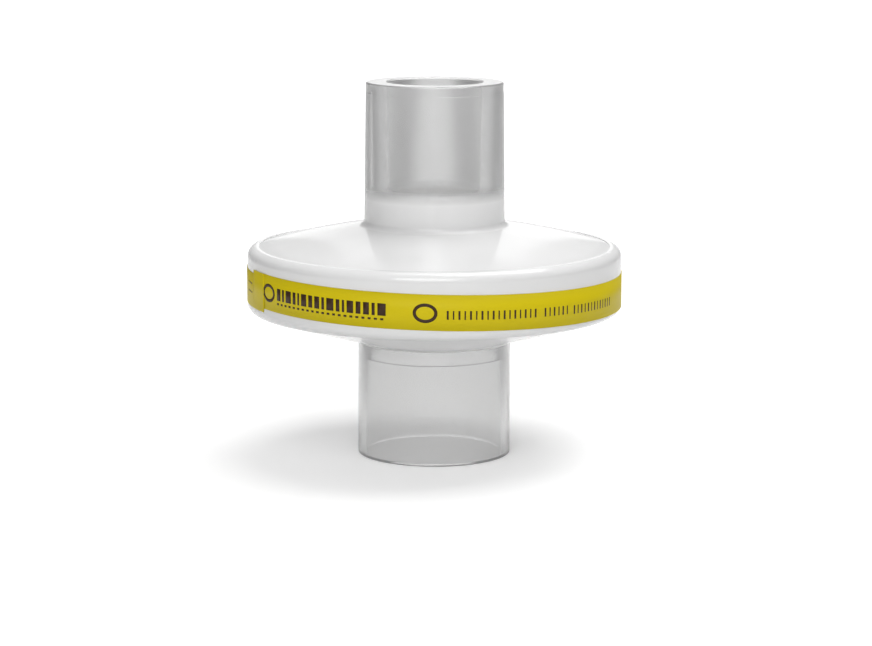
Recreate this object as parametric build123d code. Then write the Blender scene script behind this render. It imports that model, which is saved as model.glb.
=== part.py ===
"""A disposable breathing circuit filter: two welded housings, a felt pad between them and a film label.

Millimetres, +Z up. The origin is the centre of the foot, which is the open end of the lower port.
Every piece but the label is round about Z, so each is drawn as a half section and turned.
Heights stack up from the foot, so a longer piece lifts what stands on it.
"""
from build123d import *
from math import cos, radians, sqrt, tan
import os

# The disc, and the wall of both shells
rim_radius = 30.05
shell_wall = 1.4
edge_round = 0.25

# Breathing connectors are cones whose radius changes by 1 in 80, each with a straight narrow end
cone_slope = 1 / 80

# Lower port: the 22 mm socket
lower_port_length = 18.61
large_socket_radius = 11.0
large_socket_straight = 2.5
large_stop_length = 2.6
foot_radius = 12.37
neck_radius = 12.29
neck_round = 0.4
lead_in = 0.3
throat_radius = 10.4
throat_round = 1.2

# Underside of the disc and the lower half of its rim
underside_angle = 16.1
underside_rim_round = 1.35
lower_rim_height = 3.96

# Upper half of the rim, its rounded shoulder, the crease and the dome
upper_rim_height = 4.55
shoulder_round = 1.6
shoulder_width = 1.85
crease_depth = 0.11
dome_rise = 3.5
dome_bulge = 0.3

# Upper port, outside: the 22 mm male cone, with a fine step under its straight end
upper_port_length = 22.88
male_end_radius = 11.0
male_end_length = 1.6
male_end_step = 0.05
port_root_round = 1.0

# Upper port, inside: the 15 mm socket over a wider chamber
small_socket_radius = 7.52
small_socket_straight = 3.0
chamber_radius = 9.1
chamber_length = 6.7
chamber_top_round = 0.4
chamber_root_round = 1.6

# The welded lap joint inside the rim
rim_wall = 1.45
lap_wall = 0.75
lap_height = 1.2
lap_clearance = 0.05

# The felt pad swells each side of its edge, which two ring ribs pinch
pinched_thickness = 2.6
pad_swell = 0.4
pad_clearance = 0.3
pinch_rib_inset = 2.3
pinch_rib_wall = 1.2

# The film label: angles run from the front (-Y) towards the right (+X)
film_thickness = 0.1
label_width = 5.5
label_rise = 0.15
label_start = -70.3
label_end = -62.3
label_turn = 90.0
label_step_angle = 0.6
label_skew = 1.4
label_back_skew = 0.77

# Heights, from the foot up
large_socket_end = lower_port_length - large_stop_length
rim_corner_height = lower_port_length + (rim_radius - neck_radius) * tan(radians(underside_angle))
joint_height = rim_corner_height + lower_rim_height
shoulder_height = joint_height + upper_rim_height
shoulder_top = shoulder_height + sqrt(shoulder_round**2 - (shoulder_width - shoulder_round) ** 2)
dome_rim_height = shoulder_top - crease_depth
dome_top_height = dome_rim_height + dome_rise
total_height = dome_top_height + upper_port_length
chamber_top = dome_top_height - shell_wall + chamber_length
pinch_bottom = joint_height - pinched_thickness / 2
pinch_top = joint_height + pinched_thickness / 2
label_middle = joint_height + label_rise

# Radii that follow
large_mouth_radius = large_socket_radius + (large_socket_end - large_socket_straight) * cone_slope
small_cone_length = total_height - chamber_top - small_socket_straight
small_mouth_radius = small_socket_radius + small_cone_length * cone_slope
male_cone_length = upper_port_length - male_end_length - male_end_step
port_root_radius = male_end_radius + male_end_step + male_cone_length * cone_slope
dome_rim_radius = rim_radius - shoulder_width
rim_inner_radius = rim_radius - rim_wall
lap_radius = rim_radius - lap_wall
pinch_rib_radius = rim_inner_radius - pinch_rib_inset
pad_radius = rim_inner_radius - pad_clearance


def bowed(start, end, bulge):
    """An arc between two points of a half section, bowed upwards by the bulge."""
    middle = (Vector(*start) + Vector(*end)) / 2
    return ThreePointArc(start, middle + Vector(0, bulge), end)


def turned(outline, *corners, angle=360):
    """Turn a closed half section about Z, after rounding its corners, each given as (point, radius).

    A point of a half section is (radius, height).
    """
    half = make_face(outline)
    for point, rounding in corners:
        half = fillet(half.vertices().sort_by_distance(point)[0], rounding)
    return revolve(Plane.XZ * half, Axis.Z, angle)


def ring(inner_radius, outer_radius, bottom, top):
    """A plain ring about Z."""
    outline = [
        (inner_radius, bottom),
        (outer_radius, bottom),
        (outer_radius, top),
        (inner_radius, top),
    ]
    return turned(Polyline(*outline, close=True))


def upper_housing():
    """Port, dome and upper rim, moulded in one, with the ring rib that pinches the pad."""
    mouth = (small_mouth_radius, total_height)
    port_end = (male_end_radius, total_height)
    port_root = (port_root_radius, dome_top_height)
    dome_rim = (dome_rim_radius, dome_rim_height)
    shoulder_start = (dome_rim_radius, shoulder_top)
    shoulder_end = (rim_radius, shoulder_height)
    inner_rim = (rim_inner_radius, dome_rim_height - shell_wall)
    chamber_root = (chamber_radius, dome_top_height - shell_wall)
    chamber_end = (chamber_radius, chamber_top)

    port = Polyline(
        mouth,
        port_end,
        (male_end_radius, total_height - male_end_length),
        (male_end_radius + male_end_step, total_height - male_end_length - male_end_step),
        port_root,
    )
    dome = bowed(port_root, dome_rim, dome_bulge)
    crease = Line(dome_rim, shoulder_start)
    shoulder = RadiusArc(shoulder_start, shoulder_end, shoulder_round)
    rim = Polyline(
        shoulder_end,
        (rim_radius, joint_height),
        (lap_radius, joint_height),
        (lap_radius, joint_height + lap_height),
        (rim_inner_radius, joint_height + lap_height),
        inner_rim,
    )
    ceiling = bowed(inner_rim, chamber_root, dome_bulge)
    socket = Polyline(
        chamber_root,
        chamber_end,
        (small_socket_radius, chamber_top),
        (small_socket_radius, chamber_top + small_socket_straight),
        mouth,
    )
    shell = turned(
        port + dome + crease + shoulder + rim + ceiling + socket,
        (port_end, edge_round),
        (mouth, edge_round),
        (port_root, port_root_round),
        (chamber_root, chamber_root_round),
        (chamber_end, chamber_top_round),
    )
    rib_top = dome_rim_height - shell_wall / 2
    return shell + ring(pinch_rib_radius, pinch_rib_radius + pinch_rib_wall, pinch_top, rib_top)


def lower_housing():
    """Port, shallow underside and lower rim, moulded in one, with its own pinching rib and the lap."""
    slope = tan(radians(underside_angle))
    wall_rise = shell_wall / cos(radians(underside_angle))
    tongue_radius = lap_radius - lap_clearance
    tongue_top = joint_height + lap_height - lap_clearance

    def floor_height(radius):
        return lower_port_length + (radius - neck_radius) * slope + wall_rise

    foot = (foot_radius, 0)
    neck = (neck_radius, lower_port_length)
    rim_corner = (rim_radius, rim_corner_height)
    throat = (throat_radius, floor_height(throat_radius))
    outline = [
        (large_mouth_radius + lead_in, 0),
        foot,
        neck,
        rim_corner,
        (rim_radius, joint_height),
        (tongue_radius, joint_height),
        (tongue_radius, tongue_top),
        (rim_inner_radius, tongue_top),
        (rim_inner_radius, floor_height(rim_inner_radius)),
        throat,
        (throat_radius, large_socket_end),
        (large_socket_radius, large_socket_end),
        (large_socket_radius, large_socket_end - large_socket_straight),
        (large_mouth_radius - lead_in * cone_slope, lead_in),
    ]
    shell = turned(
        Polyline(*outline, close=True),
        (foot, edge_round),
        (neck, neck_round),
        (rim_corner, underside_rim_round),
        (throat, throat_round),
    )
    rib_bottom = floor_height(pinch_rib_radius) - wall_rise / 2
    return shell + ring(pinch_rib_radius, pinch_rib_radius + pinch_rib_wall, rib_bottom, pinch_bottom)


def filter_pad():
    """The felt disc: full thickness inside the ribs, thinner where they pinch it."""
    swell_radius = pinch_rib_radius - pad_swell / 2
    bottom = (swell_radius, pinch_bottom - pad_swell)
    top = (swell_radius, pinch_top + pad_swell)
    outline = [
        (0, pinch_bottom - pad_swell),
        bottom,
        (swell_radius, pinch_bottom),
        (pad_radius, pinch_bottom),
        (pad_radius, pinch_top),
        (swell_radius, pinch_top),
        top,
        (0, pinch_top + pad_swell),
    ]
    felt_round = pad_swell * 0.75
    return turned(Polyline(*outline, close=True), (bottom, felt_round), (top, felt_round))


def film(layer, start, end, skew, middle):
    """A length of label film round the rim, between two angles, cut off straight along a skewed line."""
    inner = rim_radius + layer * film_thickness
    reach = label_width
    strip = [
        (inner, middle - reach),
        (inner + film_thickness, middle - reach),
        (inner + film_thickness, middle + reach),
        (inner, middle + reach),
    ]
    wrap = turned(Polyline(*strip, close=True), angle=end - start)
    cut = Box(3 * rim_radius, 3 * rim_radius, label_width)
    return Rot(0, 0, start - 90) * wrap & Pos(0, 0, middle) * Rot(0, skew, 0) * cut


def label_band():
    """One printed film. It goes round by the right and the back, and its start laps over its end."""
    drop = rim_radius * (tan(radians(label_skew)) - tan(radians(label_back_skew)))
    front = film(0, label_end, label_turn, label_skew, label_middle)
    back = film(0, label_turn, 360 + label_end, label_back_skew, label_middle - drop)
    lap = film(1, label_start, label_end + label_step_angle, label_skew, label_middle)
    return front + back + lap


pieces = {
    "upper_housing": upper_housing(),
    "lower_housing": lower_housing(),
    "filter_pad": filter_pad(),
    "label_band": label_band(),
}
os.makedirs("parts", exist_ok=True)
for name, piece in pieces.items():
    export_step(piece, f"parts/{name}.step")
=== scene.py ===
import math

import bmesh
import bpy
from mathutils import Matrix, Vector


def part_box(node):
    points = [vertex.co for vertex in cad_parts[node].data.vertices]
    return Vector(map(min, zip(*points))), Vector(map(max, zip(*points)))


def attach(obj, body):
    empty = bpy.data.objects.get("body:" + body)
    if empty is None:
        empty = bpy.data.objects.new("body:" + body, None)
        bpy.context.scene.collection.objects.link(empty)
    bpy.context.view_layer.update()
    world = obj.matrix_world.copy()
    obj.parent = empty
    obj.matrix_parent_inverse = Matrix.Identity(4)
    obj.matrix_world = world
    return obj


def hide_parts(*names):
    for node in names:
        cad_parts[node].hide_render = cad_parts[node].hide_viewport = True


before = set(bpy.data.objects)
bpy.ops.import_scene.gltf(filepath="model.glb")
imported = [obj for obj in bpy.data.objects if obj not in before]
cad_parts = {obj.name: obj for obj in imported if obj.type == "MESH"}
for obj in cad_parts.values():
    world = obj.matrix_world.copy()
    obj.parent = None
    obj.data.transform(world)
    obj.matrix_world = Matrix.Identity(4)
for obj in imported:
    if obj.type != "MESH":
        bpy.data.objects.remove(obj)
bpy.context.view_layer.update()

# The two housings are injection moulded in natural polypropylene, which is clear but milky: the deeper the
# wall, the dimmer what shows through it. The upper port's wall is thick and the lower one's is thin, and
# the disc between them is moulded matt, so that it looks white. They are welded together inside the rim.
MM = 0.001
PLASTIC_WHITE = (1, 1, 1)
PLASTIC_IOR = 1.49
THICK_CLARITY = 0.8
THICK_BLUR = 0.12
CHAMBER_CLARITY = 0.3
CHAMBER_TOP = 42.5 * MM
CLARITY_FADE = 1.0 * MM
THIN_CLARITY = 0.8
THIN_BLUR = 0.09
DISC_CLARITY = 0.3
DISC_BLUR = 0.12
DEPTH_TINT = (0.5, 0.5, 0.5)
DEPTH_DENSITY = 60
PORT_ROOT = 38.2 * MM
NECK_HEIGHT = 18.4 * MM
RIM_INSIDE = 29.5 * MM
UPWARD = 0.1


def new_material(name, colour, roughness):
    """A material of one Principled shader, with a colour and a roughness."""
    material = bpy.data.materials.new(name)
    material.use_nodes = True
    shader = material.node_tree.nodes["Principled BSDF"]
    shader.inputs["Base Color"].default_value = (*colour, 1)
    shader.inputs["Roughness"].default_value = roughness
    return material


def add_relief(material, scale, detail, strength, distance):
    """Give a material's surface fine relief from a noise pattern on Object coordinates."""
    nodes = material.node_tree.nodes
    links = material.node_tree.links
    place = nodes.new("ShaderNodeTexCoord")
    noise = nodes.new("ShaderNodeTexNoise")
    bump = nodes.new("ShaderNodeBump")
    noise.inputs["Scale"].default_value = scale
    noise.inputs["Detail"].default_value = detail
    bump.inputs["Strength"].default_value = strength
    bump.inputs["Distance"].default_value = distance
    links.new(place.outputs["Object"], noise.inputs["Vector"])
    links.new(noise.outputs["Fac"], bump.inputs["Height"])
    links.new(bump.outputs["Normal"], nodes["Principled BSDF"].inputs["Normal"])


def ramp(tree, value, span, first, last):
    """A value that goes evenly from first to last while the given one goes over a span."""
    level = tree.nodes.new("ShaderNodeMapRange")
    level.inputs["From Min"].default_value = span[0]
    level.inputs["From Max"].default_value = span[1]
    level.inputs["To Min"].default_value = first
    level.inputs["To Max"].default_value = last
    tree.links.new(value, level.inputs["Value"])
    return level.outputs["Result"]


def coordinates(tree, kind):
    """The x, y and z of a kind of coordinates, as three sockets."""
    place = tree.nodes.new("ShaderNodeTexCoord")
    split = tree.nodes.new("ShaderNodeSeparateXYZ")
    tree.links.new(place.outputs[kind], split.inputs["Vector"])
    return split.outputs


def clearer_above(tree, low_clarity, high_clarity):
    """Make the clarity rise over a short height, at the top of the upper port's thin-walled chamber."""
    span = (CHAMBER_TOP - CLARITY_FADE, CHAMBER_TOP + CLARITY_FADE)
    clarity = ramp(tree, coordinates(tree, "Object")["Z"], span, low_clarity, high_clarity)
    tree.links.new(clarity, tree.nodes["Principled BSDF"].inputs["Transmission Weight"])


def milky_plastic(name, clarity, blur):
    """Natural polypropylene: part clear and part white, and dimmer with depth."""
    material = new_material(name, PLASTIC_WHITE, blur)
    nodes = material.node_tree.nodes
    shader = nodes["Principled BSDF"]
    shader.inputs["Transmission Weight"].default_value = clarity
    shader.inputs["IOR"].default_value = PLASTIC_IOR
    add_relief(material, scale=900, detail=2, strength=0.04, distance=0.05 * MM)
    depth = nodes.new("ShaderNodeVolumeAbsorption")
    depth.inputs["Color"].default_value = (*DEPTH_TINT, 1)
    depth.inputs["Density"].default_value = DEPTH_DENSITY
    material.node_tree.links.new(depth.outputs["Volume"], nodes["Material Output"].inputs["Volume"])
    return material


def on_disc_top(face):
    """True on the outside of the dome, its root round the port, the shoulder and the rim."""
    radius = math.hypot(face.center.x, face.center.y)
    return radius > RIM_INSIDE or (face.normal.z > UPWARD and face.center.z < PORT_ROOT)


def on_underside(face):
    """True on the outside of the shallow underside and the lower half of the rim."""
    radius = math.hypot(face.center.x, face.center.y)
    return radius > RIM_INSIDE or (face.normal.z < -UPWARD and face.center.z > NECK_HEIGHT)


def dress_housing(node_name, clear, milky, on_disc):
    """Give a housing its clear plastic, and the milky one where its disc faces out."""
    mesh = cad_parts[node_name].data
    mesh.materials.clear()
    mesh.materials.append(clear)
    mesh.materials.append(milky)
    for face in mesh.polygons:
        face.material_index = int(on_disc(face))


thick_plastic = milky_plastic("thick_polypropylene", THICK_CLARITY, THICK_BLUR)
clearer_above(thick_plastic.node_tree, CHAMBER_CLARITY, THICK_CLARITY)
thin_plastic = milky_plastic("thin_polypropylene", THIN_CLARITY, THIN_BLUR)
disc_plastic = milky_plastic("matt_polypropylene", DISC_CLARITY, DISC_BLUR)
dress_housing("lower_housing", thin_plastic, disc_plastic, on_underside)
dress_housing("upper_housing", thick_plastic, disc_plastic, on_disc_top)

# The filter pad is a disc of white needled felt, cut from sheet. It parts the gas space above it from the
# one below, and the housings' two ring ribs pinch it at its edge.
FELT_WHITE = (0.93, 0.93, 0.92)
FELT_ROUGHNESS = 0.95

felt_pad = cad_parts["filter_pad"].data
felt_pad.materials.clear()
felt = new_material("needled_felt", FELT_WHITE, FELT_ROUGHNESS)
add_relief(felt, scale=2500, detail=6, strength=0.6, distance=0.2 * MM)
felt_pad.materials.append(felt)

# The label is one strip of self-adhesive film, printed yellow. It is wrapped once round the rim from its
# start at the left front, by the right and the back, and its start laps over its end, a little out of line.
FILM_YELLOW = (0.62, 0.50, 0.008)
FILM_ROUGHNESS = 0.45
FILM_SHINE = 0.1
FILM_THICKNESS = 0.085 * MM
LABEL_WIDTH = 5.5 * MM
LABEL_MIDDLE = 27.846 * MM
LABEL_START = math.radians(-70.3)
LABEL_END = math.radians(-62.3)
LABEL_TURN = math.radians(90)
LABEL_SKEW = math.radians(1.4)
LABEL_BACK_SKEW = math.radians(0.77)
LABEL_STEPS = 360
LAP_STEPS = 12
LAP_OVERHANG = math.radians(0.6)
RIM_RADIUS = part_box("upper_housing")[1].x


def label_line(angle):
    """Height of the label's middle line at an angle from the front towards the right."""
    across = RIM_RADIUS * math.sin(angle)
    if angle < LABEL_TURN:
        return LABEL_MIDDLE - across * math.tan(LABEL_SKEW)
    drop = RIM_RADIUS * (math.tan(LABEL_SKEW) - math.tan(LABEL_BACK_SKEW))
    return LABEL_MIDDLE - drop - across * math.tan(LABEL_BACK_SKEW)


def wrap_on_rim(mesh, radius_at):
    """Bend a flat mesh round the rim. Its x is the angle, y goes out from the radius, z up from the line."""
    for vertex in mesh.verts:
        angle, out, up = vertex.co
        reach = radius_at(angle) + out
        vertex.co = Vector((reach * math.sin(angle), -reach * math.cos(angle), label_line(angle) + up))


def add_strip(mesh, angles, outs, heights, steps):
    """Add a flat strip for wrapping, with its two limits along x, y and z, in so many steps along x."""
    limits = (angles, outs, heights)
    place = Matrix.Translation([(low + high) / 2 for low, high in limits])
    size = Matrix.Diagonal([high - low for low, high in limits] + [1])
    corners = bmesh.ops.create_cube(mesh, size=1, matrix=place @ size)["verts"]
    half = (angles[1] - angles[0]) / 2
    edges = [edge for edge in mesh.edges if edge.verts[0] in corners]
    along = [edge for edge in edges if abs(edge.verts[0].co.x - edge.verts[1].co.x) > half]
    if steps > 1:
        bmesh.ops.subdivide_edges(mesh, edges=along, cuts=steps - 1, use_grid_fill=True)


def add_piece(name, mesh, material):
    """Make a bmesh, whose faces are first turned outwards, into a piece that rides with the filter."""
    mesh.normal_update()
    bmesh.ops.recalc_face_normals(mesh, faces=mesh.faces)
    data = bpy.data.meshes.new(name)
    mesh.to_mesh(data)
    mesh.free()
    data.materials.append(material)
    for face in data.polygons:
        face.use_smooth = True
    piece = bpy.data.objects.new(name, data)
    bpy.context.scene.collection.objects.link(piece)
    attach(piece, "root")
    return piece


def add_film(name, start, end, steps, radius, material):
    """Add a piece of film round the rim, with its inside at a radius."""
    film = bmesh.new()
    add_strip(film, (start, end), (0, FILM_THICKNESS), (-LABEL_WIDTH / 2, LABEL_WIDTH / 2), steps)
    wrap_on_rim(film, lambda angle: radius)
    return add_piece(name, film, material)


film_material = new_material("yellow_film", FILM_YELLOW, FILM_ROUGHNESS)
film_material.node_tree.nodes["Principled BSDF"].inputs["Specular IOR Level"].default_value = FILM_SHINE
add_relief(film_material, scale=400, detail=2, strength=0.05, distance=0.1 * MM)
label = add_film("label_film", LABEL_END, 2 * math.pi + LABEL_END, LABEL_STEPS, RIM_RADIUS, film_material)
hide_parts("label_band")
LAP_RADIUS = RIM_RADIUS + FILM_THICKNESS
add_film("label_lap", LABEL_START, LABEL_END + LAP_OVERHANG, LAP_STEPS, LAP_RADIUS, film_material)

# The label is printed in dark brown ink. Its marks are plain: a ring, a row of heavy bars over a row of
# dashes, a larger ring, three groups of fine bars, and a few dashes on the film's end.
INK_BROWN = (0.045, 0.022, 0.008)
INK_ROUGHNESS = 0.5
INK_SHINE = 0.25
INK_PROUD = 0.008 * MM
INK_SUNK = 0.004 * MM
BAR_STEP = math.radians(1)
RING_STEPS = 48
RING_BAND = 0.5 * MM
HEAVY_BARS = (0.95, 0.5, 1.3, 0.65, 0.4, 1.1, 0.8)
HEAVY_GAP = 0.42
FINE_BARS = (0.3, 0.22)
FINE_GAP = 0.62
DASH_GAP = 0.5
# Each ring has its angle in degrees, then its height, half width and half height in millimetres.
RINGS = (
    (-58.6, 0, 1.85, 1.45),
    (-2.6, -0.1, 1.87, 1.5),
)
# Each row has its start and end in degrees, then its foot, its top, its bars' widths and their gap in
# millimetres.
ROWS = (
    (-53.8, -13.6, -0.82, 1.06, HEAVY_BARS, HEAVY_GAP),
    (-53.8, -13.6, -1.52, -1.2, (0.5,), DASH_GAP),
    (3.6, 31.8, -1.0, 0.35, FINE_BARS, FINE_GAP),
    (33.9, 42.8, -1.0, 0.35, FINE_BARS, FINE_GAP),
    (45.3, 67.0, -1.1, 0.25, FINE_BARS, FINE_GAP),
    (-78.0, -71.5, 0.2, 0.5, (0.6,), DASH_GAP),
    (-78.0, -71.5, -1.2, -0.9, (0.6,), DASH_GAP),
)


def film_top(angle):
    """Radius of the film's outer face, which is one layer further out where the start laps over the end."""
    layers = 2 if LABEL_START < angle < LABEL_END + LAP_OVERHANG else 1
    return RIM_RADIUS + layers * FILM_THICKNESS


def add_ring(mesh, angle, up, half_width, half_height):
    """Add an oval ring of ink at an angle and a height."""
    turns = [2 * math.pi * step / RING_STEPS for step in range(RING_STEPS)]
    loops = []
    for out, inset in ((INK_PROUD, 0), (INK_PROUD, RING_BAND), (-INK_SUNK, RING_BAND), (-INK_SUNK, 0)):
        wide = (half_width - inset) / RIM_RADIUS
        tall = half_height - inset
        places = [(angle + wide * math.sin(turn), out, up + tall * math.cos(turn)) for turn in turns]
        loops.append([mesh.verts.new(place) for place in places])
    for first, second in zip(loops, loops[1:] + loops[:1]):
        for step in range(RING_STEPS):
            after = (step + 1) % RING_STEPS
            mesh.faces.new((first[step], second[step], second[after], first[after]))


def add_row(mesh, start, end, low, high, widths, gap):
    """Fill a stretch of the label with upright bars of the given widths in turn."""
    angle = start
    count = 0
    while True:
        wide = widths[count % len(widths)] * MM / RIM_RADIUS
        if angle + wide > end:
            return
        steps = math.ceil(wide / BAR_STEP)
        add_strip(mesh, (angle, angle + wide), (-INK_SUNK, INK_PROUD), (low, high), steps)
        angle += wide + gap / RIM_RADIUS
        count += 1


brown_ink = new_material("brown_ink", INK_BROWN, INK_ROUGHNESS)
brown_ink.node_tree.nodes["Principled BSDF"].inputs["Specular IOR Level"].default_value = INK_SHINE
ink = bmesh.new()
for angle, up, half_width, half_height in RINGS:
    add_ring(ink, math.radians(angle), up * MM, half_width * MM, half_height * MM)
for start, end, low, high, widths, gap in ROWS:
    add_row(ink, math.radians(start), math.radians(end), low * MM, high * MM, widths, gap * MM)
wrap_on_rim(ink, film_top)
add_piece("label_print", ink, brown_ink)

# The filter stands on a pale table. The table glows to the eye, more so further off, until it is as white
# as the room. Seen through the plastic it glows less, and there its sides carry painted shade, darker colour
# in place of dark cards.
TABLE_SIZE = 6.0
TABLE_WHITE = (0.85, 0.85, 0.85)
TABLE_GLOW = 0.26
GLOW_REACH = (0.06, 0.5)
GLOW_THROUGH = 0.2
# Painted shade: seen through the plastic, the table's colour is darkened at its sides, where dark cards
# would lie.
SIDE_SHADE_START = (0.025, 0.06)
SIDE_SHADE_END = (0.12, 0.3)
SIDE_SHADE_DEPTH = 0.7
FAR_SIDE_SHADE_DEPTH = 0.05


def calculate(tree, operation, *values):
    """The result of a sum on sockets and plain numbers."""
    node = tree.nodes.new("ShaderNodeMath")
    node.operation = operation
    for socket, value in zip(node.inputs, values):
        if isinstance(value, float):
            socket.default_value = value
        else:
            tree.links.new(value, socket)
    return node.outputs["Value"]


def painted_side_shade(tree, through_plastic):
    """One, but less for what shows through the plastic at the table's sides: painted shade in place of dark
    cards.
    """
    side = calculate(tree, "ABSOLUTE", coordinates(tree, "Object")["X"])
    side_shade = ramp(tree, side, SIDE_SHADE_START, 0.0, -SIDE_SHADE_DEPTH)
    fade = ramp(tree, side, SIDE_SHADE_END, 0.0, SIDE_SHADE_DEPTH - FAR_SIDE_SHADE_DEPTH)
    dim = calculate(tree, "ADD", side_shade, fade)
    return calculate(tree, "MULTIPLY_ADD", dim, through_plastic, 1.0)


def pale_table():
    """A white sweep: white to the eye and through the plastic, but for painted shade at its sides seen
    through it; it takes the filter's shadow.
    """
    material = new_material("pale_table", TABLE_WHITE, 1.0)
    tree = material.node_tree
    nodes = tree.nodes
    links = tree.links
    shader = nodes["Principled BSDF"]
    shader.inputs["Specular IOR Level"].default_value = 0
    path = nodes.new("ShaderNodeLightPath").outputs
    # Painted shade: for transmission rays the table's colour and glow are darkened at its sides.
    side_shade_factor = painted_side_shade(tree, path["Is Transmission Ray"])
    white = nodes.new("ShaderNodeVectorMath")
    white.operation = "SCALE"
    white.inputs[0].default_value = TABLE_WHITE
    links.new(side_shade_factor, white.inputs["Scale"])
    links.new(white.outputs["Vector"], shader.inputs["Base Color"])
    place = nodes.new("ShaderNodeTexCoord")
    away = nodes.new("ShaderNodeVectorMath")
    away.operation = "LENGTH"
    links.new(place.outputs["Object"], away.inputs[0])
    level = ramp(tree, away.outputs["Value"], GLOW_REACH, TABLE_GLOW, 1.0)
    to_eye = calculate(tree, "MULTIPLY", path["Is Camera Ray"], level)
    by_way = calculate(tree, "MAXIMUM", path["Is Glossy Ray"], path["Is Transmission Ray"])
    through = calculate(tree, "MULTIPLY", by_way, GLOW_THROUGH)
    strength = calculate(tree, "MAXIMUM", to_eye, through)
    glow = nodes.new("ShaderNodeEmission")
    links.new(calculate(tree, "MULTIPLY", strength, side_shade_factor), glow.inputs["Strength"])
    both = nodes.new("ShaderNodeAddShader")
    links.new(shader.outputs["BSDF"], both.inputs[0])
    links.new(glow.outputs["Emission"], both.inputs[1])
    links.new(both.outputs["Shader"], nodes["Material Output"].inputs["Surface"])
    return material


table_mesh = bmesh.new()
bmesh.ops.create_grid(table_mesh, x_segments=1, y_segments=1, size=TABLE_SIZE / 2)
table_data = bpy.data.meshes.new("table")
table_mesh.to_mesh(table_data)
table_mesh.free()
table_data.materials.append(pale_table())
table = bpy.data.objects.new("table", table_data)
bpy.context.scene.collection.objects.link(table)

# The light comes from a soft box overhead, one in front, a dim one behind, and the room.
ROOM_WHITE = (1, 1, 1)
SKY_MIDDLE = 0.78
SKY_SIDE = 0.0
SKY_REACH = 0.9


def soft_box(name, place, aim_height, width, height, power):
    """A rectangular lamp at a place, turned to face the filter's middle line at a height."""
    light = bpy.data.lights.new(name, "AREA")
    light.shape = "RECTANGLE"
    light.size = width
    light.size_y = height
    light.energy = power
    lamp = bpy.data.objects.new(name, light)
    bpy.context.scene.collection.objects.link(lamp)
    lamp.location = place
    aim = Vector((0, 0, aim_height))
    lamp.rotation_euler = (aim - Vector(place)).to_track_quat("-Z", "Y").to_euler()


soft_box("overhead", place=(0.13, 0.09, 0.55), aim_height=0.02, width=0.4, height=0.4, power=2.0)
soft_box("front", place=(-0.05, -0.55, 0.40), aim_height=0.03, width=0.4, height=0.3, power=1.7)
soft_box("backdrop", place=(0.0, 0.7, 0.25), aim_height=0.04, width=0.22, height=0.45, power=0.15)


def studio_room():
    """A room that is light ahead, behind and above, and dimmer at its two sides."""
    world = bpy.data.worlds.new("studio_room")
    world.use_nodes = True
    tree = world.node_tree
    side = calculate(tree, "ABSOLUTE", coordinates(tree, "Generated")["X"])
    level = ramp(tree, side, (0.0, SKY_REACH), SKY_MIDDLE, SKY_SIDE)
    room = tree.nodes["Background"]
    room.inputs["Color"].default_value = (*ROOM_WHITE, 1)
    tree.links.new(level, room.inputs["Strength"])
    return world


bpy.context.scene.world = studio_room()

# The camera stands where the photograph was taken from.
PHOTO_WIDTH = 872
FOCAL_PIXELS = 2653.85
SENSOR_WIDTH = 36
CAMERA_PLACE = (0.28 * MM, -422.87 * MM, 94.86 * MM)
CAMERA_PITCH = 0.1728
CAMERA_ROLL = 0.0025

camera_data = bpy.data.cameras.new("camera")
camera_data.sensor_width = SENSOR_WIDTH
camera_data.lens = FOCAL_PIXELS * SENSOR_WIDTH / PHOTO_WIDTH
camera = bpy.data.objects.new("camera", camera_data)
bpy.context.scene.collection.objects.link(camera)
camera_turn = Matrix.Rotation(math.pi / 2 - CAMERA_PITCH, 4, "X") @ Matrix.Rotation(CAMERA_ROLL, 4, "Z")
camera.matrix_world = Matrix.Translation(CAMERA_PLACE) @ camera_turn
bpy.context.scene.camera = camera

# Light goes through many walls of milky plastic, so it may bounce more often than Blender's own limits.
LIGHT_BOUNCES = 32
cycles = bpy.context.scene.cycles
cycles.max_bounces = LIGHT_BOUNCES
cycles.diffuse_bounces = LIGHT_BOUNCES
cycles.glossy_bounces = LIGHT_BOUNCES
cycles.transmission_bounces = LIGHT_BOUNCES

bpy.context.scene.view_settings.view_transform = "Standard"
